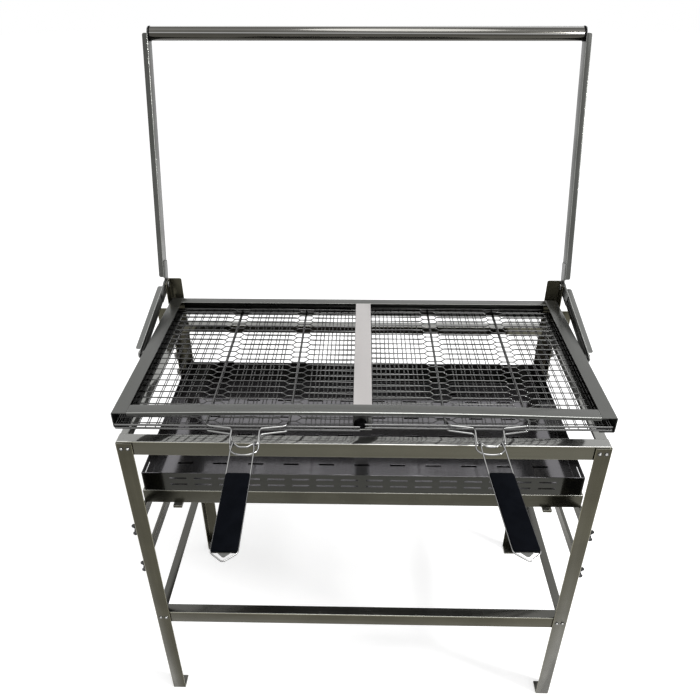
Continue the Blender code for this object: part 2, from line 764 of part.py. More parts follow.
def front_strip(name):
    """Front edge of the frame: flange on top, small lip, raised a little in the middle."""
    obj = angle((GRATE_Y[0], GRATE_TOP), FRONT_FLANGE, -FRONT_LIP, GRATE_SHEET, "X",
                -BETWEEN_SIDES, BETWEEN_SIDES)
    shape = bmesh.new()
    shape.from_mesh(obj.data)
    pieces = 10
    for i in range(1, pieces):
        place = Vector((0.0, 0.0, BETWEEN_SIDES * (2.0 * i / pieces - 1.0)))
        geometry = shape.verts[:] + shape.edges[:] + shape.faces[:]
        bmesh.ops.bisect_plane(shape, geom=geometry, plane_co=place, plane_no=(0, 0, 1))
    for vert in shape.verts:
        along = vert.co.z / BETWEEN_SIDES
        vert.co.y += FRONT_BOW * (1.0 - along * along)
    shape.to_mesh(obj.data)
    shape.free()
    return add_part(obj, name, "grate")


def centre_strip(name, low, front):
    obj = box((-STRIP_W / 2, front, low),
              (STRIP_W / 2, GRATE_Y[1] - REAR_FLANGE - GAP, low + GRATE_SHEET))
    return add_part(obj, name, "grate")


def pivot_bolt(name, side):
    """Bolt that carries the frame in the lever's hole, with a collar between them."""
    head = WEB_X + ARM_SHEET + GAP
    collar = GRATE_HALF + GAP
    inner = GRATE_HALF - GRATE_SHEET + GAP
    profile = [(0.0, head + BOLT_HEAD), (COLLAR_R, head + BOLT_HEAD), (COLLAR_R, head), (BOLT_R, head),
               (BOLT_R, WEB_X - 0.0012), (COLLAR_R, WEB_X - 0.0012), (COLLAR_R, collar),
               (BOLT_R, collar), (BOLT_R, inner), (0.0, inner)]
    obj = turned(profile, Vector((0.0, PIVOT.y, PIVOT.z)), side)
    return add_part(obj, name, "bolt")


def centre_knob(name):
    """Domed round knob standing on the front end of the lower centre strip."""
    base = GRATE_LOW + GRATE_SHEET + GAP
    profile = [(0.0, KNOB_H)]
    profile += [(u, v) for u, v in reversed(arc((0.0, 0.0), 1.0, 0.0, 90.0, 4))][1:]
    scaled = [(0.0, KNOB_H)]
    for u, v in profile[1:]:
        scaled.append((KNOB_R * (0.25 + 0.75 * u), KNOB_H * (0.35 + 0.65 * v)))
    scaled += [(KNOB_R, 0.0), (0.0, 0.0)]
    mesh = bpy.data.meshes.new("knob")
    mesh.from_pydata([(u, 0.0, v) for u, v in scaled],
                     [(i, i + 1) for i in range(len(scaled) - 1)], [])
    obj = link_mesh(mesh, Matrix.Translation((KNOB_XY[0], KNOB_XY[1], base)))
    screw = obj.modifiers.new("turn", "SCREW")
    screw.steps = 24
    screw.render_steps = 24
    screw.use_merge_vertices = True
    screw.merge_threshold = 0.00001
    return add_part(obj, name, "black")


def build_grate():
    parts = [rear_channel("grate_rear_channel"), front_strip("grate_front_strip")]
    parts.append(centre_strip("grate_top_strip", GRATE_TOP - GRATE_SHEET,
                              GRATE_Y[0] + GRATE_SHEET + GAP))
    parts.append(centre_strip("grate_bottom_strip", GRATE_LOW, GRATE_Y[0]))
    for side_name, side in SIDES.items():
        parts.append(side_channel("grate_" + side_name + "_channel", side))
        parts.append(pivot_bolt(side_name + "_pivot_bolt", side))
    return parts


# Baskets

def net_lattice(side_name, height):
    """Flat net: a rim and straight bars around rectangular gaps."""
    low_x, high_x = BASKET_X[side_name]
    low_y = BASKET_FRONT[side_name]
    loops = [[(low_x, low_y), (high_x, low_y), (high_x, low_y + BASKET_D), (low_x, low_y + BASKET_D)]]
    step_x = (high_x - low_x - 2 * NET_RIM + NET_BAR) / NET_GAPS[0]
    step_y = (BASKET_D - 2 * NET_RIM + NET_BAR) / NET_GAPS[1]
    for i in range(NET_GAPS[0]):
        for j in range(NET_GAPS[1]):
            x = low_x + NET_RIM + i * step_x
            y = low_y + NET_RIM + j * step_y
            loops.append([(x, y), (x + step_x - NET_BAR, y),
                          (x + step_x - NET_BAR, y + step_y - NET_BAR), (x, y + step_y - NET_BAR)])
    return prism(loops, "Z", height - NET_SHEET / 2, height + NET_SHEET / 2)


def mirrored_path(middle, half_path):
    """Left half of a path given as (distance from the middle, y, z), then its mirror."""
    path = [(middle - d, y, z) for d, y, z in half_path]
    path += [(middle + d, y, z) for d, y, z in reversed(half_path)]
    return path


def upper_net(name, side_name):
    """Upper net with the neck whose front wire is the handle's hinge."""
    height = NET_Z["upper"]
    front = BASKET_FRONT[side_name]
    hinge_y = front - HANDLE_BACK
    top = height + 0.0027
    half = [(NECK_HALF, front + 0.014, top), (NECK_HALF - 0.005, front + 0.004, top),
            (NECK_INNER, front - 0.007, top - 0.001), (NECK_INNER, hinge_y, HANDLE_Z)]
    net = join(net_lattice(side_name, height), wire(mirrored_path(NECK_X[side_name], half), NECK_WIRE))
    rear = front + BASKET_D
    for sign in (-1.0, 1.0):
        x = sum(BASKET_X[side_name]) / 2 + sign * REAR_LOOP_X
        foot = NET_Z["lower"] + NET_SHEET / 2 + GAP
        join(net, box((x - REAR_LOOP[0] / 2, rear - 0.001 - REAR_LOOP[1], foot),
                      (x + REAR_LOOP[0] / 2, rear - 0.001, height)))
    return add_part(net, name, "wire")


def lower_net(name, side_name):
    """Lower net with a longer neck that ends in a round loop under the handle."""
    height = NET_Z["lower"]
    front = BASKET_FRONT[side_name]
    tip = front - HANDLE_BACK - LOWER_NECK_REACH
    low = height - 0.0011
    half = [(NECK_HALF - 0.002, front + 0.0031, low), (NECK_HALF - 0.005, front - 0.0006, low),
            (NECK_INNER, front - 0.0105, low - 0.0005), (NECK_INNER, tip + 0.012, LOWER_NECK_Z),
            (NECK_INNER - 0.006, tip + 0.003, LOWER_NECK_Z), (NECK_INNER - 0.015, tip, LOWER_NECK_Z)]
    neck = wire(mirrored_path(NECK_X[side_name], half), NECK_WIRE)
    return add_part(join(net_lattice(side_name, height), neck), name, "wire")


# Handles

def handle_frame(side_name):
    """Hinge point and the handle's local axes: outwards along it, across it, and up."""
    hinge = Vector((NECK_X[side_name], BASKET_FRONT[side_name] - HANDLE_BACK, HANDLE_Z))
    skew = HANDLE_SKEW[side_name]
    out = Vector((math.sin(skew), -math.cos(skew) * math.cos(HANDLE_DROOP), -math.sin(HANDLE_DROOP)))
    across = Vector((1.0, 0.0, 0.0))
    return hinge, out.normalized(), across


def handle_wire(name, side_name):
    """Two eyes round the neck's front wire, two long wires and the V that joins them."""
    hinge, out, across = handle_frame(side_name)
    end = GRIP_START + GRIP_LENGTH
    start = EYE_R - HANDLE_WIRE * 0.55
    path = [hinge - across * HANDLE_HALF + out * start, hinge - across * HANDLE_HALF + out * end,
            hinge - across * 0.002 + out * (end + TIP_REACH),
            hinge + across * 0.002 + out * (end + TIP_REACH),
            hinge + across * HANDLE_HALF + out * end, hinge + across * HANDLE_HALF + out * start]
    obj = wire(path, HANDLE_WIRE)
    for sign in (-1.0, 1.0):
        middle = hinge.x + sign * HANDLE_HALF
        loops = [circle((hinge.y, hinge.z), EYE_R, 16),
                 circle((hinge.y, hinge.z), NECK_WIRE / 2 + GAP, 16)]
        join(obj, prism(loops, "X", middle - EYE_LENGTH / 2, middle + EYE_LENGTH / 2))
    return add_part(obj, name, "wire")


def grip(name, side_name):
    """Flat slab held between the handle's two wires."""
    hinge, out, across = handle_frame(side_name)
    half = HANDLE_HALF - HANDLE_WIRE / 2 - GAP
    up = across.cross(out).normalized()
    if up.z < 0.0:
        up = -up
    mesh = bpy.data.meshes.new("grip")
    shape = bmesh.new()
    bmesh.ops.create_cube(shape, size=1.0)
    for vert in shape.verts:
        corner = vert.co.copy()
        vert.co = (across * (2.0 * half * corner.x)
                   + out * (GRIP_START + GRIP_LENGTH * (corner.y + 0.5))
                   + up * (GRIP_SHEET * corner.z))
    bmesh.ops.recalc_face_normals(shape, faces=shape.faces)
    shape.to_mesh(mesh)
    shape.free()
    obj = link_mesh(mesh, Matrix.Translation(hinge))
    bevel = obj.modifiers.new("edges", "BEVEL")
    bevel.width = 0.0018
    bevel.segments = 2
    return add_part(obj, name, "grip")


def attach(parts, name, place):
    """Parents the pieces of one moving body to an empty on its joint."""
    empty = bpy.data.objects.new(name, None)
    empty.empty_display_size = 0.03
    empty.location = place
    PARTS.objects.link(empty)
    bpy.context.view_layer.update()
    for part in parts:
        part.parent = empty
        part.matrix_parent_inverse = empty.matrix_world.inverted()
    return empty


def hang(child, parent):
    """Makes one joint's empty ride on another."""
    bpy.context.view_layer.update()
    child.parent = parent
    child.matrix_parent_inverse = parent.matrix_world.inverted()


def build_all():
    stand = attach(build_stand(), "stand_origin", (0.0, 0.0, 0.0))
    tray = attach(build_tray(), "tray_slide_origin", (0.0, CARRIER_Y[0], RUNNER_Z["upper"]))
    hang(tray, stand)
    lift = attach(build_lever(), "lift_hinge", HINGE)
    hang(lift, stand)
    turn = attach(build_grate(), "grate_turn_hinge", PIVOT)
    hang(turn, lift)
    knob = attach([centre_knob("centre_knob")], "knob_hinge", (*KNOB_XY, GRATE_LOW))
    hang(knob, turn)
    for side_name in SIDES:
        nets = [upper_net(side_name + "_upper_net", side_name),
                lower_net(side_name + "_lower_net", side_name)]
        basket = attach(nets, side_name + "_basket_origin",
                        (sum(BASKET_X[side_name]) / 2, BASKET_FRONT[side_name], NET_Z["lower"]))
        hang(basket, turn)
        hinge = handle_frame(side_name)[0]
        pieces = [handle_wire(side_name + "_handle_wire", side_name),
                  grip(side_name + "_grip", side_name)]
        handle = attach(pieces, side_name + "_handle_hinge", hinge)
        hang(handle, basket)
    for tool in CUTTERS.objects:
        hang(tool, stand)
    stand.location.y = STAND_Y


build_all()
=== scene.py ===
import json
import math

import bmesh
import bpy
from mathutils import Matrix, Vector


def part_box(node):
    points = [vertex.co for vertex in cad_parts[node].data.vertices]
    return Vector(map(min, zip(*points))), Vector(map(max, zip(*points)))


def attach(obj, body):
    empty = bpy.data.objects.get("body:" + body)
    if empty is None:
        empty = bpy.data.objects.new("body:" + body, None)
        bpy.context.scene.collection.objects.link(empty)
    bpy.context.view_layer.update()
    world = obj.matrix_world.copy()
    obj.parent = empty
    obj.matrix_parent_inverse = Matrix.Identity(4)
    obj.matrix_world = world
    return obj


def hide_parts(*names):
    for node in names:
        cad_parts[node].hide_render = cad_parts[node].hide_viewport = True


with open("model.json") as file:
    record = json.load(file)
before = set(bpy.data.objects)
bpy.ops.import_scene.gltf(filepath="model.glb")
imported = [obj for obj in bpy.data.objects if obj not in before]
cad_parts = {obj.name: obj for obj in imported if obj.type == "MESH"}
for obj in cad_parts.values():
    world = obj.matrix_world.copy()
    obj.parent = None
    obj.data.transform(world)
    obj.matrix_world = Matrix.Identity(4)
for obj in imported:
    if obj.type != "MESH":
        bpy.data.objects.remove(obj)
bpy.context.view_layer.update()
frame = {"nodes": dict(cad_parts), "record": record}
nodes = frame["nodes"]

# Sizes in metres. The stand's middle lies behind the model's own middle.
STAND_Y = 0.070
SIDES = {"left": -1.0, "right": 1.0}
BASKET_OUT = 0.4385                # outer edge of a basket from the middle
BASKET_DEPTH = 0.434
FRONT_WIRE_Y = {"left": -0.2390 + STAND_Y, "right": -0.2315 + STAND_Y}
RIM = 0.0040
RIB = 0.0036
NET_WIRE = 0.0019
NECK_WIRE = 0.0036
LONG_WIRE_OUT = 0.0013             # a long wire's middle, outwards of the rim's
RIB_IN = 0.0004                    # a rib's middle, inwards of the rim's
RIB_LEAD = 0.001                   # a rib's start, in front of the front wire's middle
FRONT_WIRE_TIP = 0.0045            # the front wire's inner end, from the middle
CROSS_PITCH = 0.0194               # from one cross wire to the next
CROSS_END = 0.0012                 # a cross wire's end, outwards of the rim's middle
CROSS_OUT = 0.0031                 # its run between the ribs, outwards
CROSS_IN = 0.0033                  # its run in a groove, inwards
CROSS_RISE = [(0.006, 0.0016), (0.030, CROSS_OUT)]   # reach from the end, and outwards there
RIM_Z = {"upper": 0.8085, "lower": 0.8015}
OUTWARDS = {"upper": 1.0, "lower": -1.0}
NECK_X = {"left": -0.2035, "right": 0.2205}
NECK_HALF = 0.0735                 # from a neck's middle to the rib beside it
NECK_INNER = 0.0245
HINGE_BACK = 0.038                 # from the front wire to the handle's hinge
HINGE_Z = 0.801
LOWER_NECK_Z = 0.7895
NECK_LIFT = {"upper": 0.0037, "lower": -0.0016}      # from the rim's middle to the neck's ends
HANDLE_HALF = 0.0200
HANDLE_WIRE = 0.0026
HANDLE_DROOP = math.radians(6.0)
HANDLE_SKEW = {"left": math.radians(0.9), "right": math.radians(5.2)}
COIL_INSET = 0.0022                # a coil's inner end, inwards of the handle's wire
COIL_WIDE = 0.0036
GRIP_START = 0.0675                # along the handle, from the hinge
GRIP_END = 0.2180
GRIP_DEEP = 0.0080
TIP_REACH = 0.0150                 # from the grip's end to the wires' common tip
GROOVE_FLAT = 0.0125               # half the floor of the groove that a cross wire makes at a rib
GROOVE_SLOPE = 0.0080
POST_BOLT_Z = {"left": (0.670, 0.623), "right": (0.681, 0.618)}


# Node groups and finishes

def socket(group, way, kind, name, value=None):
    made = group.interface.new_socket(name=name, in_out=way, socket_type="NodeSocket" + kind)
    if value is not None:
        made.default_value = value


def node(tree, kind, values=None, **settings):
    made = tree.nodes.new(kind)
    for name, value in settings.items():
        setattr(made, name, value)
    for name, value in (values or {}).items():
        made.inputs[name].default_value = value
    return made


def join(tree, start, end):
    tree.links.new(start, end)


def brushed_grain():
    """Fine lines along the piece: a stretched noise, for shade, roughness and relief."""
    group = bpy.data.node_groups.new("brushed_grain", "ShaderNodeTree")
    socket(group, "INPUT", "Vector", "Stretch", (1.0, 1.0, 1.0))
    socket(group, "OUTPUT", "Float", "Lines")
    socket(group, "OUTPUT", "Float", "Streaks")
    start, end = node(group, "NodeGroupInput"), node(group, "NodeGroupOutput")
    place = node(group, "ShaderNodeTexCoord")
    stretch = node(group, "ShaderNodeVectorMath", operation="MULTIPLY")
    join(group, place.outputs["Object"], stretch.inputs[0])
    join(group, start.outputs["Stretch"], stretch.inputs[1])
    lines = node(group, "ShaderNodeTexNoise", {"Scale": 1.0, "Detail": 3.0, "Roughness": 0.6})
    streaks = node(group, "ShaderNodeTexNoise", {"Scale": 0.14, "Detail": 2.0, "Roughness": 0.5})
    for noise in (lines, streaks):
        join(group, stretch.outputs[0], noise.inputs["Vector"])
    join(group, lines.outputs["Fac"], end.inputs["Lines"])
    join(group, streaks.outputs["Fac"], end.inputs["Streaks"])
    return group


def handling_marks():
    """Soft cloudy marks where the sheet has been handled, and small specks."""
    group = bpy.data.node_groups.new("handling_marks", "ShaderNodeTree")
    socket(group, "INPUT", "Float", "Size", 9.0)
    socket(group, "OUTPUT", "Float", "Clouds")
    socket(group, "OUTPUT", "Float", "Specks")
    start, end = node(group, "NodeGroupInput"), node(group, "NodeGroupOutput")
    place = node(group, "ShaderNodeTexCoord")
    clouds = node(group, "ShaderNodeTexNoise",
                  {"Detail": 4.0, "Roughness": 0.55, "Distortion": 0.4})
    specks = node(group, "ShaderNodeTexNoise", {"Scale": 420.0, "Detail": 1.0})
    for noise in (clouds, specks):
        join(group, place.outputs["Object"], noise.inputs["Vector"])
    join(group, start.outputs["Size"], clouds.inputs["Scale"])
    soft = node(group, "ShaderNodeMapRange", {"From Min": 0.36, "From Max": 0.66})
    sharp = node(group, "ShaderNodeMapRange", {"From Min": 0.66, "From Max": 0.78})
    join(group, clouds.outputs["Fac"], soft.inputs["Value"])
    join(group, specks.outputs["Fac"], sharp.inputs["Value"])
    join(group, soft.outputs["Result"], end.inputs["Clouds"])
    join(group, sharp.outputs["Result"], end.inputs["Specks"])
    return group


def upper_faces():
    """Mask of the faces that look up, where the steels paint light into their colour."""
    group = bpy.data.node_groups.new("upper_faces", "ShaderNodeTree")
    socket(group, "OUTPUT", "Float", "Mask")
    end = node(group, "NodeGroupOutput")
    place = node(group, "ShaderNodeTexCoord")
    split = node(group, "ShaderNodeSeparateXYZ")
    limit = node(group, "ShaderNodeMapRange", {"From Min": 0.45, "From Max": 0.92})
    join(group, place.outputs["Normal"], split.inputs[0])
    join(group, split.outputs["Z"], limit.inputs["Value"])
    join(group, limit.outputs["Result"], end.inputs["Mask"])
    return group


# Painted reflection on the polished tube: turn about the tube's axis in degrees, 0 to the back and
# 90 straight up, and the strength there
PAINTED_HIGHLIGHT_BANDS = [(84.0, 0.0), (100.0, 0.0), (105.0, 1.0), (109.0, 0.85), (115.0, 0.0),
                (166.0, 0.0), (172.0, 0.5), (178.0, 0.0)]
PAINTED_DARK_BANDS = [(60.0, 1.0), (88.0, 1.0), (100.0, 0.5), (112.0, 0.2), (120.0, 0.9),
              (133.0, 0.7), (144.0, 0.1), (170.0, 0.9)]


def painted_reflection_bands():
    """Painted reflection: light and dark rings round a polished bar that lies along X, from the
    slope of its surface.
    """
    group = bpy.data.node_groups.new("painted_reflection_bands", "ShaderNodeTree")
    socket(group, "OUTPUT", "Float", "Bright")
    socket(group, "OUTPUT", "Float", "PaintedDark")
    end = node(group, "NodeGroupOutput")
    place = node(group, "ShaderNodeTexCoord")
    split = node(group, "ShaderNodeSeparateXYZ")
    join(group, place.outputs["Normal"], split.inputs[0])
    slope = node(group, "ShaderNodeMath", operation="ARCTAN2")
    join(group, split.outputs["Z"], slope.inputs[0])
    join(group, split.outputs["Y"], slope.inputs[1])
    spread = node(group, "ShaderNodeMapRange", {"From Min": -math.pi, "From Max": math.pi})
    join(group, slope.outputs[0], spread.inputs["Value"])
    for name, stops in (("Bright", PAINTED_HIGHLIGHT_BANDS), ("PaintedDark", PAINTED_DARK_BANDS)):
        ramp = node(group, "ShaderNodeValToRGB")
        points = ramp.color_ramp.elements
        while len(points) < len(stops):
            points.new(0.5)
        for point, (turn, shade) in zip(points, stops):
            point.position = turn / 360.0 + 0.5
            point.color = (shade, shade, shade, 1.0)
        join(group, spread.outputs["Result"], ramp.inputs["Fac"])
        join(group, ramp.outputs["Color"], end.inputs[name])
    return group


grain_group = brushed_grain()
marks_group = handling_marks()
painted_top_light_group = upper_faces()
reflection_bands_group = painted_reflection_bands()

# How close the grain's noise lies on each axis: far apart along the piece, close across it
ALONG = {"x": (9.0, 520.0, 520.0), "y": (520.0, 9.0, 520.0), "z": (520.0, 520.0, 9.0)}
# Colour painted on a wire's sides where it curves away from the view: painted shade.
WIRE_PAINTED_SHADE = (0.010, 0.010, 0.010)


def grouped(tree, group, values=None):
    made = node(tree, "ShaderNodeGroup", node_tree=group)
    for name, value in (values or {}).items():
        made.inputs[name].default_value = value
    return made


def blended(tree, first, second, factor):
    """Colour between two, each a value or a socket."""
    mix = node(tree, "ShaderNodeMix", data_type="RGBA")
    join(tree, factor, mix.inputs["Factor"])
    for place, colour in ((6, first), (7, second)):
        if isinstance(colour, bpy.types.NodeSocket):
            join(tree, colour, mix.inputs[place])
        else:
            mix.inputs[place].default_value = (*colour, 1.0)
    return mix.outputs[2]


def ranged(tree, value, low, high):
    made = node(tree, "ShaderNodeMapRange", {"To Min": low, "To Max": high})
    join(tree, value, made.inputs["Value"])
    return made.outputs["Result"]


def material(name):
    """A new material, with its node tree and its Principled BSDF."""
    finish = bpy.data.materials.new(name)
    finish.use_nodes = True
    return finish, finish.node_tree, finish.node_tree.nodes["Principled BSDF"]


def embossed(tree, skin, height, strength, distance):
    bump = node(tree, "ShaderNodeBump", {"Strength": strength, "Distance": distance})
    join(tree, height, bump.inputs["Height"])
    join(tree, bump.outputs["Normal"], skin.inputs["Normal"])


def steel(name, low, high, top, rough, along="x", metal=0.9, size=9.0, relief=0.06, cloud=0.34):
    """Brushed sheet or bar: low and high shade its grain, top is painted light on the faces that
    look up.
    """
    finish, tree, skin = material(name)
    skin.inputs["Metallic"].default_value = metal
    skin.inputs["Specular IOR Level"].default_value = 0.3
    grain = grouped(tree, grain_group, {"Stretch": ALONG[along]})
    marks = grouped(tree, marks_group, {"Size": size})
    upper = grouped(tree, painted_top_light_group)
    dark = tuple(c * 0.62 for c in low)
    body = blended(tree, low, high, grain.outputs["Streaks"])
    lined = blended(tree, body, high, ranged(tree, grain.outputs["Lines"], 0.0, 0.9))
    clouded = blended(tree, lined, dark, ranged(tree, marks.outputs["Clouds"], cloud, 0.0))
    # Painted light: faces that look up are lightened towards the top colour.
    top_lit = blended(tree, clouded, top, ranged(tree, upper.outputs["Mask"], 0.0, 0.85))
    specked = blended(tree, top_lit, dark, ranged(tree, marks.outputs["Specks"], 0.0, 0.30))
    join(tree, specked, skin.inputs["Base Color"])
    join(tree, ranged(tree, marks.outputs["Clouds"], rough * 1.25, rough * 0.85),
         skin.inputs["Roughness"])
    embossed(tree, skin, grain.outputs["Lines"], relief, 0.0004)
    return finish


def shade_of(finish):
    """A finish's node tree, its Principled BSDF and the socket that feeds its Base Color."""
    tree = finish.node_tree
    skin = tree.nodes["Principled BSDF"]
    return tree, skin, skin.inputs["Base Color"].links[0].from_socket


def side_shaded_wire(name, low, high, top, rough, **more):
    """Drawn wire, its colour darkened where it curves away from the view: painted shade, light
    along its middle.
    """
    finish = steel(name, low, high, top, rough, metal=1.0, **more)
    tree, skin, shade = shade_of(finish)
    turned_away = node(tree, "ShaderNodeLayerWeight", {"Blend": 0.5})
    amount = node(tree, "ShaderNodeMapRange", {"From Min": 0.12, "From Max": 0.62, "To Max": 0.92})
    join(tree, turned_away.outputs["Facing"], amount.inputs["Value"])
    shaded = blended(tree, shade, WIRE_PAINTED_SHADE, amount.outputs["Result"])
    join(tree, shaded, skin.inputs["Base Color"])
    return finish


def polished(name, low, high, painted_highlight, dark, rough):
    """Polished tube: brushed steel crossed by light and dark bands that run along it, a painted
    reflection.
    """
    finish = steel(name, low, high, high, rough, metal=1.0, size=4.0, relief=0.02)
    tree, skin, shade = shade_of(finish)
    bands = grouped(tree, reflection_bands_group)
    shaded = blended(tree, shade, dark, ranged(tree, bands.outputs["PaintedDark"], 0.0, 0.85))
    lit = blended(tree, shaded, painted_highlight, ranged(tree, bands.outputs["Bright"], 0.0, 0.9))
    join(tree, lit, skin.inputs["Base Color"])
    return finish


def plastic(name, colour, worn, rough):
    """Moulded black plastic with a fine orange-peel surface and paler rubbed places."""
    finish, tree, skin = material(name)
    skin.inputs["Specular IOR Level"].default_value = 0.02
    marks = grouped(tree, marks_group, {"Size": 38.0})
    shade = blended(tree, colour, worn, ranged(tree, marks.outputs["Clouds"], 0.0, 0.6))
    join(tree, shade, skin.inputs["Base Color"])
    join(tree, ranged(tree, marks.outputs["Clouds"], rough, rough * 1.4), skin.inputs["Roughness"])
    peel = node(tree, "ShaderNodeTexNoise", {"Scale": 900.0, "Detail": 2.0})
    place = node(tree, "ShaderNodeTexCoord")
    join(tree, place.outputs["Object"], peel.inputs["Vector"])
    embossed(tree, skin, peel.outputs["Fac"], 0.12, 0.0003)
    return finish


def scaled(colour, share):
    return tuple(min(c * share, 0.95) for c in colour)


def steel_set(name, low, high, top, rough, painted_highlight=2.6, **more):
    """The same steel with its grain along each axis, and a brighter copy for its eased edges: a
    painted highlight.
    """
    made = {}
    for axis in "xyz":
        face = steel(name + "_" + axis, low, high, top, rough, along=axis, **more)
        edge = steel(name + "_highlight_edge_" + axis, scaled(low, painted_highlight), scaled(high, painted_highlight),
                     scaled(top, painted_highlight), rough * 0.8, along=axis, **more)
        made[axis] = (face, edge)
    return made


# The third colour of each steel is painted light: the colour of its faces that look up, lighter
# because of how light falls there; on the rib and wire steels it is a painted highlight.
stand_steel = steel_set("stand_steel", (0.036, 0.033, 0.021), (0.078, 0.074, 0.054),
                        (0.120, 0.120, 0.112), 0.22, painted_highlight=3.8)
carrier_steel = steel_set("carrier_steel", (0.032, 0.030, 0.021), (0.062, 0.060, 0.046),
                          (0.240, 0.240, 0.225), 0.26, painted_highlight=3.4)
rail_steel = steel_set("rail_steel", (0.042, 0.040, 0.028), (0.082, 0.079, 0.061),
                       (0.350, 0.352, 0.340), 0.09, painted_highlight=4.5, cloud=0.15)
tray_steel = steel_set("tray_steel", (0.022, 0.022, 0.019), (0.038, 0.038, 0.034),
                       (0.205, 0.200, 0.212), 0.10, cloud=0.12, relief=0.01, painted_highlight=1.6)
lever_steel = steel_set("lever_steel", (0.055, 0.056, 0.051), (0.110, 0.112, 0.106),
                        (0.200, 0.203, 0.196), 0.28, painted_highlight=4.6)
grate_steel = steel_set("grate_steel", (0.070, 0.071, 0.064), (0.130, 0.132, 0.124),
                        (0.165, 0.167, 0.160), 0.30, painted_highlight=3.4)
# A darker copy of the grate steel for its channels and front strip: painted shade for the dark
# reflections they show.
channel_steel = steel_set("channel_steel", (0.030, 0.031, 0.028), (0.060, 0.061, 0.057),
                          (0.160, 0.162, 0.155), 0.30, painted_highlight=3.4)
# The grate's top strip is near-white: a painted reflection of a bright light on its polished steel.
strip_painted_sheen = steel_set("strip_painted_sheen", (0.50, 0.48, 0.47), (0.66, 0.64, 0.63),
                        (0.55, 0.528, 0.520), 0.30, painted_highlight=1.4)
bolt_steel = steel_set("bolt_steel", (0.080, 0.080, 0.076), (0.190, 0.190, 0.185),
                       (0.330, 0.330, 0.320), 0.28, size=30.0)
wire_steel = side_shaded_wire("wire_steel", (0.050, 0.050, 0.048), (0.120, 0.120, 0.118),
                         (0.260, 0.260, 0.256), 0.17, along="y", size=30.0)
rib_steel = side_shaded_wire("rib_steel", (0.120, 0.120, 0.117), (0.260, 0.260, 0.256),
                        (0.620, 0.620, 0.612), 0.14, along="y", size=30.0)
frame_steel = side_shaded_wire("frame_steel", (0.060, 0.060, 0.058), (0.150, 0.150, 0.148),
                          (0.360, 0.360, 0.356), 0.16, along="y", size=30.0)
coil_steel = steel("coil_steel", (0.012, 0.012, 0.012), (0.045, 0.045, 0.045),
                   (0.110, 0.110, 0.110), 0.30, metal=1.0, size=60.0)
# Near-black finish of the ash sheet under the tray, so the tray's slots show dark: painted shade.
painted_shade_black = steel("painted_shade_black", (0.003, 0.003, 0.003), (0.006, 0.006, 0.006),
                   (0.006, 0.006, 0.006), 0.60, metal=0.5)
chrome = polished("tube_chrome", (0.120, 0.115, 0.098), (0.260, 0.255, 0.240),
                  (0.850, 0.850, 0.840), (0.030, 0.028, 0.022), 0.14)
black_plastic = plastic("black_plastic", (0.0030, 0.0030, 0.0033), (0.006, 0.006, 0.007), 0.35)
grip_plastic = plastic("grip_plastic", (0.0014, 0.0019, 0.0032), (0.0036, 0.0044, 0.0066), 0.42)


# Finishes of the plain sheet and bar pieces

def dressed(name, finishes, width, flat_faces):
    """A node's own shape with its finish, and its sharp edges eased into thin bevels in its last
    finish, mostly the brighter edge copy: a painted highlight.
    """
    piece = nodes[name]
    mesh = piece.data
    mesh.materials.clear()
    for finish in finishes:
        mesh.materials.append(finish)
    if flat_faces:
        mesh.shade_flat()
    else:
        mesh.shade_smooth()
    weld = piece.modifiers.new("weld", "WELD")
    weld.merge_threshold = 0.00002
    flat = piece.modifiers.new("flat", "DECIMATE")
    flat.decimate_type = "DISSOLVE"
    flat.angle_limit = math.radians(0.5)
    ease = piece.modifiers.new("ease", "BEVEL")
    ease.width = width
    ease.segments = 2
    ease.limit_method = "ANGLE"
    ease.angle_limit = math.radians(28.0)
    ease.harden_normals = not flat_faces
    # The bevels take the last finish: on most pieces the brighter edge copy, a painted highlight.
    ease.material = len(finishes) - 1


def grain_of(name):
    low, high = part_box(name)
    size = high - low
    return "xyz"[max(range(3), key=lambda i: size[i])]


def finish_of(name, body):
    """A node's finishes, face first and the brighter edge finish last, a painted highlight, and the
    width of its eased edges.
    """
    grain = grain_of(name)
    if "knob" in name or "plug" in name:
        return (black_plastic,), 0.0004
    if name == "handle_tube":
        return (chrome,), 0.0003
    if name == "grate_top_strip":
        return strip_painted_sheen["y"], 0.0004
    # Wing nuts: dark steel on the faces, the brighter edge steel on the bevels as a painted
    # highlight.
    if "wing_nut" in name:
        return (coil_steel, bolt_steel["y"][1]), 0.0007
    if "bolt" in name:
        return bolt_steel["y"], 0.0004
    if name.startswith("carrier"):
        return carrier_steel[grain], 0.0005
    # The ash sheet: painted shade under the tray's slots.
    if name == "ash_sheet":
        return (painted_shade_black,), 0.0002
    if name.startswith("top_"):
        return rail_steel[grain], 0.0009
    # Grate channels and front strip take the darker copy of the grate steel: painted shade.
    if name == "grate_front_strip":
        return channel_steel["x"], 0.0011
    if name.startswith("grate_") and name.endswith("_channel"):
        return channel_steel[grain], 0.0009
    sets = {"stand": stand_steel, "tray": tray_steel, "lever": lever_steel, "grate": grate_steel}
    return sets[body][grain], 0.0012 if "arm" in name else 0.0005


def dress_all():
    for body, members in frame["record"]["behaviour"]["bodies"].items():
        for name in members:
            if "net" in name or "handle_wire" in name or "grip" in name:
                continue
            finishes, width = finish_of(name, body)
            dressed(name, finishes, width, name in ("charcoal_tray", "ash_sheet"))


dress_all()


# Wires of the baskets

def rounded(points, radius, steps=4):
    """The points with each inner corner replaced by a short curve."""
    points = [Vector(p) for p in points]
    made = [points[0]]
    for before, corner, after in zip(points, points[1:], points[2:]):
        reach = min(radius, (before - corner).length * 0.45, (after - corner).length * 0.45)
        first = corner + (before - corner).normalized() * reach
        last = corner + (after - corner).normalized() * reach
        for i in range(steps + 1):
            t = i / steps
            made.append(first * (1 - t) ** 2 + corner * 2 * t * (1 - t) + last * t ** 2)
    made.append(points[-1])
    return made


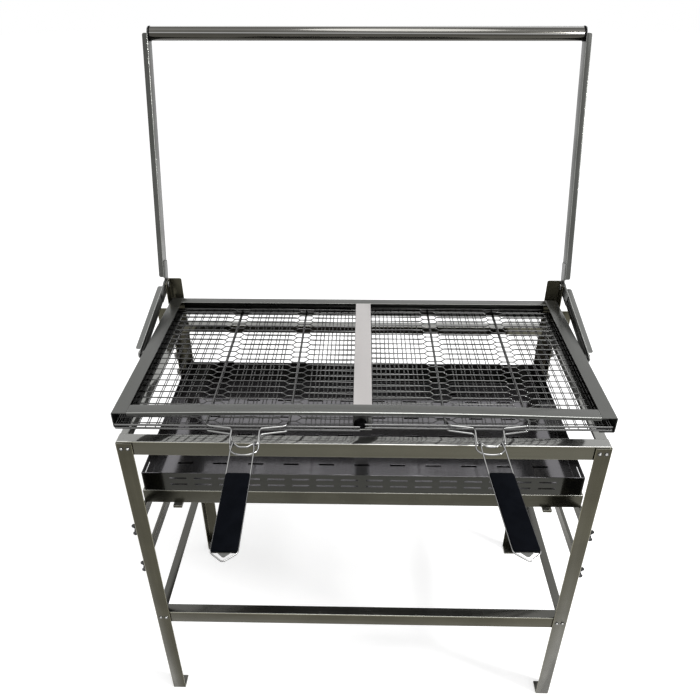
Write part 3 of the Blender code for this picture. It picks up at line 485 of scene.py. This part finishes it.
def placed(name, mesh, body, finish):
    """The mesh as a smooth piece of one finish that rides on a body."""
    mesh.materials.clear()
    mesh.materials.append(finish)
    mesh.shade_smooth()
    piece = bpy.data.objects.new(name, mesh)
    bpy.context.scene.collection.objects.link(piece)
    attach(piece, body)
    return piece


def wires(name, body, finish, runs, sides=2):
    """One piece of round wires, each run given as (points, diameter)."""
    curve = bpy.data.curves.new(name, "CURVE")
    curve.dimensions = "3D"
    curve.bevel_depth = 0.001
    curve.bevel_resolution = sides
    curve.use_fill_caps = True
    for points, diameter in runs:
        spline = curve.splines.new("POLY")
        spline.points.add(len(points) - 1)
        for place, point in zip(spline.points, points):
            place.co = (*point, 1.0)
            place.radius = diameter / 0.002
    drawn = bpy.data.objects.new(name + "_path", curve)
    bpy.context.scene.collection.objects.link(drawn)
    bpy.context.view_layer.update()
    seen = drawn.evaluated_get(bpy.context.evaluated_depsgraph_get())
    mesh = bpy.data.meshes.new_from_object(seen)
    bpy.data.objects.remove(drawn)
    return placed(name, mesh, body, finish)


LONG_WIRES = {
    "left": [-0.0165, -0.0325, -0.0495, -0.0660, -0.0830, -0.1000, -0.1600, -0.1774, -0.1948,
             -0.2122, -0.2296, -0.2470, -0.3070, -0.3244, -0.3417, -0.3591, -0.3764, -0.3938,
             -0.4111, -0.4275],
    "right": [0.0095, 0.0274, 0.0453, 0.0633, 0.0812, 0.0991, 0.1170, 0.1770, 0.1944, 0.2118,
              0.2292, 0.2466, 0.2640, 0.3240, 0.3403, 0.3565, 0.3728, 0.3890, 0.4053, 0.4215],
}


def long_wires(side, level):
    """Upper wires as listed; the lower ones lie halfway between them."""
    listed = LONG_WIRES[side]
    if level == "upper":
        return listed
    between = [(a + b) / 2 for a, b in zip(listed, listed[1:]) if abs(a - b) < 0.025]
    return [listed[0]] + between + [listed[-1]]


def cross_wire(side, level, y):
    """A wire from side to side that passes each rib in a groove."""
    sign = OUTWARDS[level]
    rim = RIM_Z[level]
    away, close = rim + sign * CROSS_OUT, rim - sign * CROSS_IN
    low, high = sorted((LONG_WIRES[side][0], math.copysign(BASKET_OUT - RIM / 2, NECK_X[side])))
    points = [(low, y, rim + sign * CROSS_END)]
    if side == "left":
        points += [(low + reach, y, rim + sign * height) for reach, height in CROSS_RISE]
    for rib in (NECK_X[side] - NECK_HALF, NECK_X[side] + NECK_HALF):
        points += [(rib - GROOVE_FLAT - GROOVE_SLOPE, y, away), (rib - GROOVE_FLAT, y, close),
                   (rib + GROOVE_FLAT, y, close), (rib + GROOVE_FLAT + GROOVE_SLOPE, y, away)]
    if side == "right":
        points += [(high - reach, y, rim + sign * height) for reach, height in CROSS_RISE[::-1]]
    points.append((high, y, rim + sign * CROSS_END))
    return rounded(points, 0.003, 3)


def net(side, level):
    """Rim, ribs, long wires and cross wires of one net."""
    sign = OUTWARDS[level]
    z = RIM_Z[level]
    front = FRONT_WIRE_Y[side] + RIM / 2
    rear = FRONT_WIRE_Y[side] + BASKET_DEPTH - RIM / 2
    inner = LONG_WIRES[side][0]
    outer = math.copysign(BASKET_OUT - RIM / 2, NECK_X[side])
    tip = math.copysign(FRONT_WIRE_TIP, NECK_X[side])
    frame_runs = [([(tip, front, z), (outer, front, z)], RIM),
                  ([(inner, rear, z), (outer, rear, z)], RIM),
                  ([(outer, front, z), (outer, rear, z)], RIM)]
    for rib in (NECK_X[side] - NECK_HALF, NECK_X[side] + NECK_HALF):
        height = z - sign * RIB_IN
        frame_runs.append(([(rib, front - RIB_LEAD, height), (rib, rear, height)], RIB))
    runs = []
    for x in long_wires(side, level):
        height = z + sign * LONG_WIRE_OUT
        runs.append(([(x, front, height), (x, rear, height)], NET_WIRE))
    count = int((rear - front) / CROSS_PITCH)
    for i in range(1, count + 1):
        runs.append((cross_wire(side, level, front + i * CROSS_PITCH), NET_WIRE))
    title, body = side + "_" + level, side + "_basket"
    piece = wires(title + "_wire_net", body, wire_steel, runs, 1)
    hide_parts(title + "_net")
    wires(title + "_rim", body, frame_steel, frame_runs)


def neck(side, level):
    """Bent wire at the front of a net: above it is the handle's hinge, below it is a loop."""
    x, front = NECK_X[side], FRONT_WIRE_Y[side]
    hinge = front - HINGE_BACK
    z = RIM_Z[level] + NECK_LIFT[level]
    if level == "upper":
        half = [(0.0735, front + 0.012, z), (0.0690, front - 0.001, z - 0.001),
                (0.0265, front - 0.006, z - 0.0025), (NECK_INNER, front - 0.012, z - 0.003),
                (NECK_INNER, hinge - 0.0005, HINGE_Z), (0.0150, hinge, HINGE_Z),
                (0.0080, hinge - 0.0070, HINGE_Z - 0.001)]
    else:
        half = [(0.0715, front + 0.003, z), (0.0690, front - 0.001, z), (0.0265, front - 0.010, z),
                (NECK_INNER, front - 0.016, z - 0.001), (NECK_INNER, hinge - 0.003, LOWER_NECK_Z),
                (0.0160, hinge - 0.012, LOWER_NECK_Z), (0.0060, hinge - 0.015, LOWER_NECK_Z)]
    points = [(x - d, y, h) for d, y, h in half] + [(x + d, y, h) for d, y, h in reversed(half)]
    return rounded(points, 0.006, 5), NECK_WIRE


for side in SIDES:
    for level in RIM_Z:
        net(side, level)
        wires(side + "_" + level + "_neck", side + "_basket", rib_steel,
              [neck(side, level)])


# Handles

def handle_axes(side):
    """Hinge point, the way along the handle, the way across it, and its upper side."""
    hinge = Vector((NECK_X[side], FRONT_WIRE_Y[side] - HINGE_BACK, HINGE_Z))
    skew, droop = HANDLE_SKEW[side], HANDLE_DROOP
    out = Vector((math.sin(skew), -math.cos(skew) * math.cos(droop), -math.sin(droop)))
    out.normalize()
    across = Vector((1.0, 0.0, 0.0))
    return hinge, out, across, -across.cross(out).normalized()


def coil(hinge, sign):
    """Two and a half turns round the neck, ending on top and heading forwards."""
    radius, turns, steps = 0.0034, 2.5, 14
    made = []
    for i in range(int(turns * steps) + 1):
        angle = math.radians(90.0) + math.tau * (turns - i / steps)
        x = hinge.x + sign * (HANDLE_HALF - COIL_INSET + COIL_WIDE * (turns - i / steps) / turns)
        y = hinge.y + radius * math.cos(angle)
        z = hinge.z + radius * math.sin(angle)
        made.append(Vector((x, y, z)))
    return made


def handle_wires(side):
    """Both long wires, each from its coil to the common tip."""
    hinge, out, across, up = handle_axes(side)
    runs, coils = [], []
    tip = hinge + out * (GRIP_END + TIP_REACH) + up * 0.0006
    for sign in (-1.0, 1.0):
        edge = across * (sign * HANDLE_HALF)
        start = coil(hinge, sign)
        coils.append((start, HANDLE_WIRE))
        bends = [start[-1] + out * 0.004 + across * (sign * 0.0006),
                 hinge + edge + out * 0.016 + up * 0.0022,
                 hinge + edge + out * GRIP_START, hinge + edge + out * (GRIP_END + 0.0010),
                 tip + across * (sign * 0.0020)]
        runs.append(([start[-1]] + rounded(bends, 0.004, 4), HANDLE_WIRE))
    nose = [tip - across * 0.0024 - out * 0.0006, tip, tip + across * 0.0024 - out * 0.0006]
    runs.append((rounded(nose, 0.002, 3), HANDLE_WIRE))
    piece = wires(side + "_long_wires", side + "_handle", rib_steel, runs)
    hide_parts(side + "_handle_wire")
    wires(side + "_coils", side + "_handle", coil_steel, coils)


def solid(name, body, finish, sections):
    """Closed solid through rings of points, each ring with the same count."""
    verts = [p for ring in sections for p in ring]
    count = len(sections[0])
    faces = [tuple(reversed(range(count))), tuple(range(len(verts) - count, len(verts)))]
    for row in range(len(sections) - 1):
        for i in range(count):
            a, b = row * count + i, row * count + (i + 1) % count
            faces.append((a, b, b + count, a + count))
    mesh = bpy.data.meshes.new(name)
    mesh.from_pydata([tuple(v) for v in verts], [], faces)
    shape = bmesh.new()
    shape.from_mesh(mesh)
    bmesh.ops.recalc_face_normals(shape, faces=shape.faces)
    shape.to_mesh(mesh)
    shape.free()
    piece = placed(name, mesh, body, finish)
    ease = piece.modifiers.new("ease", "BEVEL")
    ease.width = 0.0004
    ease.segments = 2
    ease.limit_method = "ANGLE"
    ease.angle_limit = math.radians(32.0)
    ease.harden_normals = True
    return piece


def grip_ring(centre, across, up, half, deep, steps=5):
    """Outline of the grip: flat above and below, with full round sides."""
    made = []
    bulge = deep * 0.40
    for sign in (1.0, -1.0):
        for i in range(steps + 1):
            angle = math.radians(90.0 - 180.0 * i / steps)
            wide = half - bulge + bulge * math.cos(angle)
            high = deep * 0.5 * math.sin(angle)
            made.append(centre + across * (sign * wide) + up * (sign * high))
    return made


# Reach from the grip's start, and the shares of its width and of its depth there
GRIP_ROWS = [(0.0000, 0.88, 0.55), (0.0012, 0.97, 0.85), (0.0035, 1.0, 1.0), (0.0700, 1.0, 1.0),
             (0.1470, 1.0, 1.0), (0.1493, 0.97, 0.85), (0.1505, 0.90, 0.55)]


def moulded_grip(side):
    hinge, out, across, up = handle_axes(side)
    half = HANDLE_HALF + 0.0006
    rings = []
    for reach, wide, high in GRIP_ROWS:
        centre = hinge + out * (GRIP_START + reach) + up * 0.0004
        rings.append(grip_ring(centre, across, up, half * wide, GRIP_DEEP * high))
    piece = solid(side + "_moulded_grip", side + "_handle", grip_plastic, rings)
    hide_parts(side + "_grip")


def tip_sheet(side):
    """Small folded sheet that closes the V between grip and tip."""
    hinge, out, across, up = handle_axes(side)
    rings = []
    for height in (-0.0006, 0.0006):
        base = hinge + out * (GRIP_END - 0.001) + up * height
        rings.append([base - across * 0.0120, base + across * 0.0120,
                      base + out * 0.0092 + across * 0.0016, base + out * 0.0092 - across * 0.0016])
    solid(side + "_tip_sheet", side + "_handle", grate_steel["x"][0], rings)


for side in SIDES:
    handle_wires(side)
    moulded_grip(side)
    tip_sheet(side)


# Rivets and bolt heads

def turned(name, body, finish, places, profile, steps=20):
    """Round heads, each place given as (point, direction), all in one piece."""
    mesh = bpy.data.meshes.new(name)
    shape = bmesh.new()
    for point, way in places:
        way = Vector(way).normalized()
        turn = way.to_track_quat("Z", "Y").to_matrix()
        rings = []
        for radius, height in profile:
            ring = []
            for i in range(steps):
                angle = math.tau * i / steps
                spot = Vector((radius * math.cos(angle), radius * math.sin(angle), height))
                ring.append(shape.verts.new(Vector(point) + turn @ spot))
            rings.append(ring)
        for low, high in zip(rings, rings[1:]):
            for i in range(steps):
                shape.faces.new((low[i], low[(i + 1) % steps], high[(i + 1) % steps], high[i]))
        shape.faces.new(rings[-1])
        shape.faces.new(list(reversed(rings[0])))
    bmesh.ops.recalc_face_normals(shape, faces=shape.faces)
    shape.to_mesh(mesh)
    shape.free()
    placed(name, mesh, body, finish)


# Profiles of the heads, as (radius, height) from the foot to the top
# A flat dark ring under each rivet head: painted contact shadow.
SHADOW_RING = [(0.0045, -0.0003), (0.0045, 0.0002), (0.0042, 0.0003)]
RIVET = [(0.0026, -0.0003), (0.0026, 0.0007), (0.0023, 0.0013), (0.0016, 0.0018), (0.0007, 0.0020)]
DOME = [(0.0058, -0.0004), (0.0058, 0.0022), (0.0072, 0.0026), (0.0074, 0.0070), (0.0066, 0.0088),
        (0.0046, 0.0100), (0.0020, 0.0105)]


TOP_RIVETS = 0.0152                # below the top rail's upper face
LOW_RIVETS = 0.0140                # below the low rail's upper face
RIVET_INSETS = (0.0095, 0.0215)    # from the leg's outer corner


def leg_rivets():
    """Two rivets on each leg's outer faces, at the top rails and at the low rails."""
    for side, sign in SIDES.items():
        for end, name in ((-1.0, "front"), (1.0, "rear")):
            leg = side + ("_front_leg" if name == "front" else "_rear_post")
            low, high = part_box(leg)
            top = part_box("top_" + name + "_rail")[1].z
            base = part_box("low_" + name + "_rail")[1].z
            outer_x = low.x if side == "left" else high.x
            outer_y = low.y if name == "front" else high.y
            places = []
            for z in (top - TOP_RIVETS, base - LOW_RIVETS):
                for inset in RIVET_INSETS:
                    places.append(((outer_x - sign * inset, outer_y, z), (0.0, end, 0.0)))
                    places.append(((outer_x, outer_y - end * inset, z - 0.0015), (sign, 0.0, 0.0)))
            title = side + "_" + name
            # Dark rings under the heads are painted shadow; the heads take the brighter edge steel,
            # a painted highlight.
            turned(title + "_rivet_shadow_rings", "stand", coil_steel, places, SHADOW_RING)
            turned(title + "_rivets", "stand", bolt_steel["z"][1], places, RIVET)


def post_bolts():
    for side, sign in SIDES.items():
        low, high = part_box(side + "_rear_post")
        x = low.x if side == "left" else high.x
        y = (low.y + high.y) / 2
        turned(side + "_post_bolts", "stand", bolt_steel["z"][0],
               [((x, y, z), (sign, 0.0, 0.0)) for z in POST_BOLT_Z[side]], DOME)


leg_rivets()
post_bolts()


# Camera, light and floor

CAMERA_PLACE = (-0.002, -1.089, 1.539)
CAMERA_PAN = 0.0212                # radians, about the upright axis
CAMERA_TILT = 58.21                # degrees up from straight down
CAMERA_ROLL = -0.0025              # radians, about the line of sight


def set_camera():
    data = bpy.data.cameras.new("camera")
    data.lens = 34.30
    data.sensor_width = 36.0
    data.clip_end = 60.0
    camera = bpy.data.objects.new("camera", data)
    place = Matrix.Translation(CAMERA_PLACE)
    pan = Matrix.Rotation(CAMERA_PAN, 4, "Z")
    tilt = Matrix.Rotation(math.radians(CAMERA_TILT), 4, "X")
    roll = Matrix.Rotation(CAMERA_ROLL, 4, "Z")
    camera.matrix_world = place @ (pan @ tilt) @ roll
    bpy.context.scene.collection.objects.link(camera)
    bpy.context.scene.camera = camera


def larger(tree, first, second):
    made = node(tree, "ShaderNodeMath", operation="MAXIMUM")
    join(tree, first, made.inputs[0])
    join(tree, second, made.inputs[1])
    return made.outputs[0]


ROOM_LIGHT = 0.62                  # strength of the even light; the white that shows is 1.0


def set_world():
    """White behind the grill and in its reflections, and a plain even light on it."""
    world = bpy.data.worlds.new("studio")
    bpy.context.scene.world = world
    world.use_nodes = True
    tree = world.node_tree
    tree.nodes.clear()
    rays = node(tree, "ShaderNodeLightPath")
    both = larger(tree, rays.outputs["Is Camera Ray"], rays.outputs["Is Glossy Ray"])
    shows = larger(tree, both, rays.outputs["Is Transmission Ray"])
    even = node(tree, "ShaderNodeBackground", {"Color": (1, 1, 1, 1), "Strength": ROOM_LIGHT})
    white = node(tree, "ShaderNodeBackground", {"Color": (1, 1, 1, 1), "Strength": 1.0})
    mix = node(tree, "ShaderNodeMixShader")
    join(tree, shows, mix.inputs[0])
    join(tree, even.outputs[0], mix.inputs[1])
    join(tree, white.outputs[0], mix.inputs[2])
    end = node(tree, "ShaderNodeOutputWorld")
    join(tree, mix.outputs[0], end.inputs["Surface"])


def lamp(name, place, aim, size, power):
    data = bpy.data.lights.new(name, "AREA")
    data.shape = "DISK"
    data.size = size
    data.energy = power
    made = bpy.data.objects.new(name, data)
    made.location = place
    made.rotation_euler = (Vector(aim) - Vector(place)).to_track_quat("-Z", "Y").to_euler()
    bpy.context.scene.collection.objects.link(made)


FLOOR_RADIUS = 14.0
FLOOR_SIDES = 96
FLOOR_GLOW = 0.46                  # lifts the lit floor to white for the camera and in reflections


def set_floor():
    """Pale floor, white to the camera except where the grill shades it."""
    mesh = bpy.data.meshes.new("floor")
    angles = [math.tau * i / FLOOR_SIDES for i in range(FLOOR_SIDES)]
    ring = [(FLOOR_RADIUS * math.cos(a), FLOOR_RADIUS * math.sin(a), 0.0) for a in angles]
    mesh.from_pydata(ring, [], [tuple(range(FLOOR_SIDES))])
    finish, tree, skin = material("floor")
    skin.inputs["Base Color"].default_value = (0.93, 0.93, 0.93, 1.0)
    skin.inputs["Roughness"].default_value = 1.0
    skin.inputs["Specular IOR Level"].default_value = 0.0
    skin.inputs["Emission Color"].default_value = (1.0, 1.0, 1.0, 1.0)
    rays = node(tree, "ShaderNodeLightPath")
    both = larger(tree, rays.outputs["Is Camera Ray"], rays.outputs["Is Glossy Ray"])
    glow = node(tree, "ShaderNodeMath", operation="MULTIPLY")
    glow.inputs[1].default_value = FLOOR_GLOW
    join(tree, both, glow.inputs[0])
    join(tree, glow.outputs[0], skin.inputs["Emission Strength"])
    mesh.materials.append(finish)
    floor = bpy.data.objects.new("floor", mesh)
    bpy.context.scene.collection.objects.link(floor)


set_camera()
set_world()
lamp("top_lamp", place=(0.5, -0.6, 3.4), aim=(0.0, 0.0, 0.7), size=2.0, power=30.0)
lamp("right_lamp", place=(2.5, -1.0, 2.3), aim=(0.0, 0.0, 0.8), size=0.6, power=60.0)
set_floor()
bpy.context.scene.view_settings.view_transform = "Standard"
